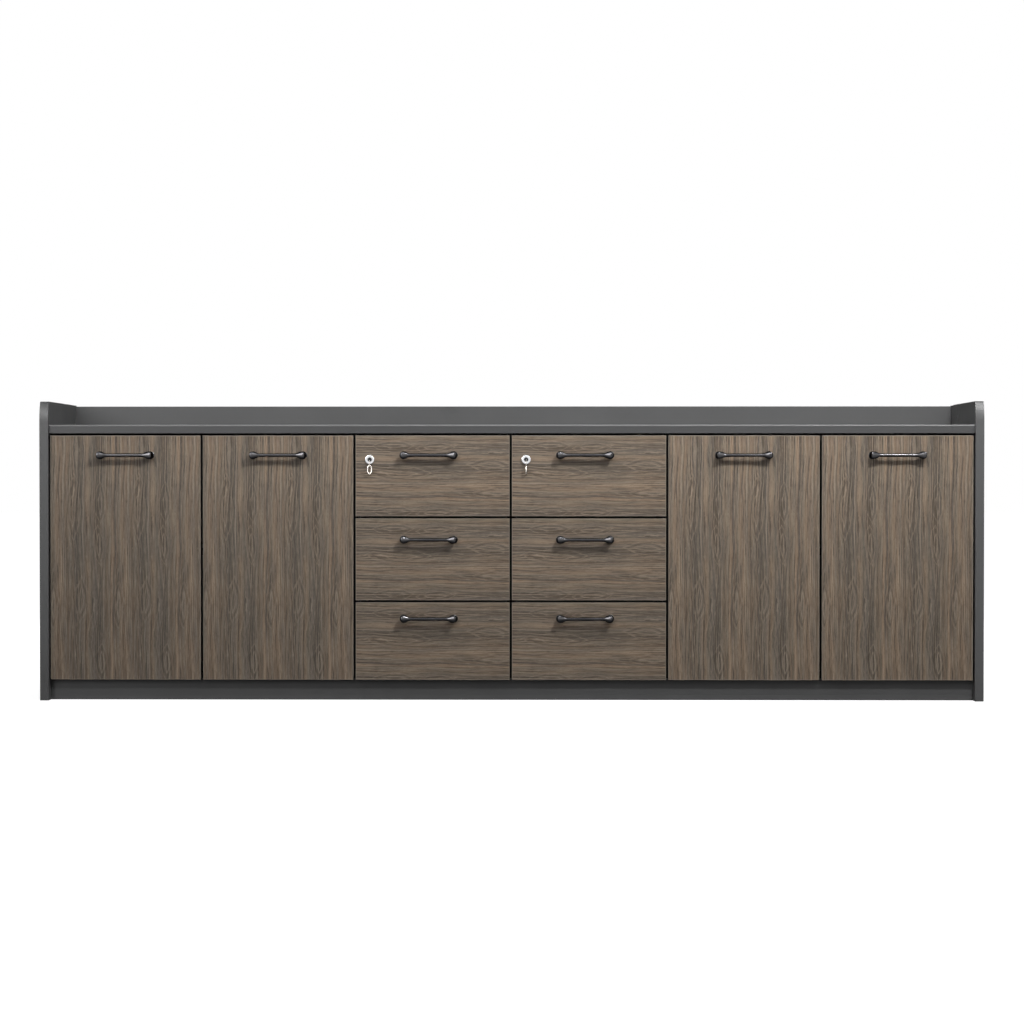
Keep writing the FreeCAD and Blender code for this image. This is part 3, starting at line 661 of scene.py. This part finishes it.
# Small fixings: pan-head screws that hold the hinge cups, hinge plates and runners, and black
# ones along the edges of the back panels.
def screw_set(name, places, head, finish, body):
    """Like screws as one piece: where each head sits and faces, and the head's radius and height."""
    sheet = bmesh.new()
    for place, axis in places:
        cross_head(sheet, place, axis, *head)
    new_piece(name, sheet, finish, body)


cup_head, plate_head = (3.3 * mm, 1.2 * mm), (3.8 * mm, 1.6 * mm)
cup_from_end, cup_screw_rise = 31.0 * mm, 24.5 * mm
plate_behind_front, plate_screw_rise, plate_thickness = 31.0 * mm, 17.0 * mm, 2.5 * mm
inner_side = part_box("bottom_panel")[1][0]
partition_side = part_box("partitions")[1][0]
carcass_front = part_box("bottom_panel")[0][1]
# The faces that carry the hinges of doors one to four, and the way each of them looks.
faces = [(-inner_side, 1), (-partition_side, -1), (partition_side, 1), (inner_side, -1)]
hinge_screws = []
for number, (face_x, run) in enumerate(faces, 1):
    low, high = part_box(f"door_{number}_hinge_cups")
    middle_x = (low[0] + high[0]) / 2
    heights = (low[2] + cup_from_end, high[2] - cup_from_end)
    screw_set(f"door_{number}_cup_screws",
              [((middle_x, high[1], z + side * cup_screw_rise), (0, 1, 0))
               for z in heights for side in (-1, 1)],
              cup_head, bright_zinc, f"door_{number}")
    hinge_screws += [((face_x + run * plate_thickness, carcass_front + plate_behind_front,
                       z + side * plate_screw_rise), (run, 0, 0))
                     for z in heights for side in (-1, 1)]
screw_set("hinge_plate_screws", hinge_screws, plate_head, bright_zinc, "carcass")

drawer_head, rail_head = (3.2 * mm, 1.2 * mm), (3.2 * mm, 0.9 * mm)
runner_holes = (22.0 * mm, 140.0 * mm, 278.0 * mm)
# From a board's face across a runner: the webs of its rail, middle member and drawer member.
rail_web, middle_web, drawer_web = 1.3 * mm, 3.5 * mm, 11.4 * mm
rail_screws = []
for name in nodes:
    if not name.endswith("_middle_runners"):
        continue
    low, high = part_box(name)
    middle_z = (low[2] + high[2]) / 2
    drawer = name.replace("_middle_runners", "")
    on_drawer = []
    for hole in runner_holes:
        for x, run in ((low[0] - middle_web, 1), (high[0] + middle_web, -1)):
            rail_screws.append(((x + run * rail_web, low[1] + hole, middle_z), (run, 0, 0)))
            on_drawer.append(((x + run * drawer_web, low[1] + hole, middle_z), (-run, 0, 0)))
    screw_set(drawer + "_runner_screws", on_drawer, drawer_head, bright_zinc, drawer)
screw_set("runner_rail_screws", rail_screws, rail_head, bright_zinc, "carcass")

back_head, edge_in, screw_spacing, row_spacing = (3.6 * mm, 1.5 * mm), 9.0 * mm, 0.2, 0.155
back_low, back_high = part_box("back_panels")
black_screw = steel("black_screw", (0.06, 0.06, 0.06), 0.45)
columns = [back_low[0] + edge_in, -partition_side + edge_in, 0.0, partition_side - edge_in,
           back_high[0] - edge_in]
middle_row = (back_low[2] + back_high[2]) / 2
rows = [back_low[2] + edge_in, middle_row - row_spacing, middle_row, middle_row + row_spacing,
        back_high[2] - edge_in]
seats = []
for left, right in zip(columns, columns[1:]):
    spaces = round((right - left) / screw_spacing)
    for k in range(spaces):
        x = left + (right - left) * k / spaces
        seats += [(x, rows[0]), (x, rows[-1])]
seats += [(columns[-1], z) for z in (rows[0], rows[-1])]
seats += [(x, z) for x in columns for z in rows[1:-1]]
screw_set("back_panel_screws", [((x, back_high[1], z), (0, 1, 0)) for x, z in seats],
          back_head, black_screw, "carcass")


# Stage: a white floor that keeps the shadow of the piece, in a white room. Both are for the
# picture alone and no part of the piece.
floor_reach = 30.0
floor_mesh = bpy.data.meshes.new("floor")
corners = [(x * floor_reach, y * floor_reach, 0.0) for x, y in ((-1, -1), (1, -1), (1, 1), (-1, 1))]
floor_mesh.from_pydata(corners, [], [(0, 1, 2, 3)])
floor = bpy.data.objects.new("floor", floor_mesh)
bpy.context.scene.collection.objects.link(floor)

floor_finish = bpy.data.materials.new("white_floor")
floor_finish.use_nodes = True
tree = floor_finish.node_tree
tree.nodes.clear()


def ray_kinds(tree):
    """One for the rays that see the stage itself, and one for those that metal sends there."""
    rays = put(tree, "ShaderNodeLightPath").outputs
    seen = put(tree, "ShaderNodeMath", {0: rays["Is Camera Ray"], 1: rays["Is Transmission Ray"]},
               operation="ADD", use_clamp=True).outputs[0]
    return seen, rays["Is Glossy Ray"]


seen, mirrored = ray_kinds(tree)
paper_lit, paper_seen = (0.12, 0.12, 0.12, 1), (0.35, 0.35, 0.35, 1)
paper = put(tree, "ShaderNodeBsdfDiffuse",
            {"Color": blend_colours(tree, seen, paper_lit, paper_seen)})
# The floor's glow is painted a little dimmer under the piece, in an oval, as a painted shadow, and
# metal finds it dim there.
oval = (0.5, 0.8, 0.0)
from_middle = put(tree, "ShaderNodeVectorMath", {0: here(tree), 1: oval},
                  operation="MULTIPLY").outputs[0]
far_out = put(tree, "ShaderNodeVectorMath", {0: from_middle}, operation="LENGTH").outputs["Value"]
dim = 0.12
glowing = calc(tree, "ADD",
               calc(tree, "MULTIPLY", seen, spread(tree, far_out, 0.60, 0.80, 0.87, 1.0)),
               calc(tree, "MULTIPLY", mirrored, spread(tree, far_out, 0.8, 1.7, dim, 1.0)))
glow = put(tree, "ShaderNodeEmission", {"Color": (1, 1, 1, 1), "Strength": glowing})
both = put(tree, "ShaderNodeAddShader", {0: paper.outputs[0], 1: glow.outputs[0]})
put(tree, "ShaderNodeOutputMaterial", {0: both.outputs[0]})
floor_mesh.materials.append(floor_finish)

# The room is white to the eye. Metal finds its ceiling and its rear dim.
world = bpy.data.worlds.new("studio")
bpy.context.scene.world = world
world.use_nodes = True
tree = world.node_tree
tree.nodes.clear()
ambient = 0.06
seen, mirrored = ray_kinds(tree)
heading = put(tree, "ShaderNodeSeparateXYZ",
              {0: put(tree, "ShaderNodeTexCoord").outputs["Generated"]}).outputs
cove = calc(tree, "MULTIPLY", spread(tree, heading[2], 0.30, 0.52, 1.0, 0.0),
            spread(tree, heading[1], -0.15, -0.50, 0.0, 1.0))
in_metal = calc(tree, "MULTIPLY", mirrored, spread(tree, cove, 0.0, 1.0, dim, 1.0))
strength = calc(tree, "MAXIMUM", calc(tree, "ADD", seen, in_metal), ambient)
back = put(tree, "ShaderNodeBackground", {"Color": (1, 1, 1, 1), "Strength": strength})
put(tree, "ShaderNodeOutputWorld", {0: back.outputs[0]})


# Lamps: a softbox to the upper right, a strip over the fronts and a broad fill from the left.
# The cards are seen in metal and gloss only. Weak lamps keep the sides and the back readable.
def lamp(name, place, aim, size, power, only_gloss=False):
    light = bpy.data.lights.new(name, "AREA")
    light.shape = "RECTANGLE"
    light.size, light.size_y = size
    light.energy = power
    made = bpy.data.objects.new(name, light)
    bpy.context.scene.collection.objects.link(made)
    made.location = place
    made.rotation_mode = "QUATERNION"
    made.rotation_quaternion = (Vector(aim) - Vector(place)).to_track_quat("-Z", "Y")
    made.visible_camera = False
    made.visible_diffuse = not only_gloss


fronts = (0.0, -0.2, 0.5)
lamp("softbox", (1.45, -2.5, 2.7), (0.2, -0.18, 0.5), (0.35, 0.35), 73.0)
lamp("strip", (0.05, -0.70, 1.10), (0.05, -0.18, 0.62), (3.0, 0.22), 9.8)
lamp("front_fill", (-4.0, -12.0, 6.5), fronts, (2.5, 2.5), 315.0)
lamp("left_card", (-6.9, -12.0, 3.7), fronts, (6.4, 5.0), 1250.0, only_gloss=True)
lamp("low_card", (5.0, -12.2, 2.2), fronts, (8.0, 2.0), 120.0, only_gloss=True)
lamp("high_card", (3.2, -12.0, 6.0), fronts, (1.8, 4.5), 220.0, only_gloss=True)
lamp("left_fill", (-3.4, 0.2, 0.42), (-1.2, 0.0, 0.38), (0.7, 0.6), 24.0)
lamp("right_fill", (3.4, 0.2, 0.42), (1.2, 0.0, 0.38), (0.7, 0.6), 24.0)
lamp("back_fill", (0.0, 3.6, 0.42), (0.0, 0.2, 0.38), (2.4, 0.6), 100.0)


# Camera: a long lens from the front, a little below the upper handles and a little right of the
# middle.
camera_data = bpy.data.cameras.new("camera")
camera_data.lens = 88.79
camera_data.sensor_width = 36.0
camera = bpy.data.objects.new("camera", camera_data)
bpy.context.scene.collection.objects.link(camera)
camera.location = (0.0867, -6.6054, 0.5770)
camera.rotation_euler = (math.radians(90) - 0.0150, 0.0, 0.0130)
camera_data.clip_end = 200.0
bpy.context.scene.camera = camera
bpy.context.scene.view_settings.view_transform = "Standard"
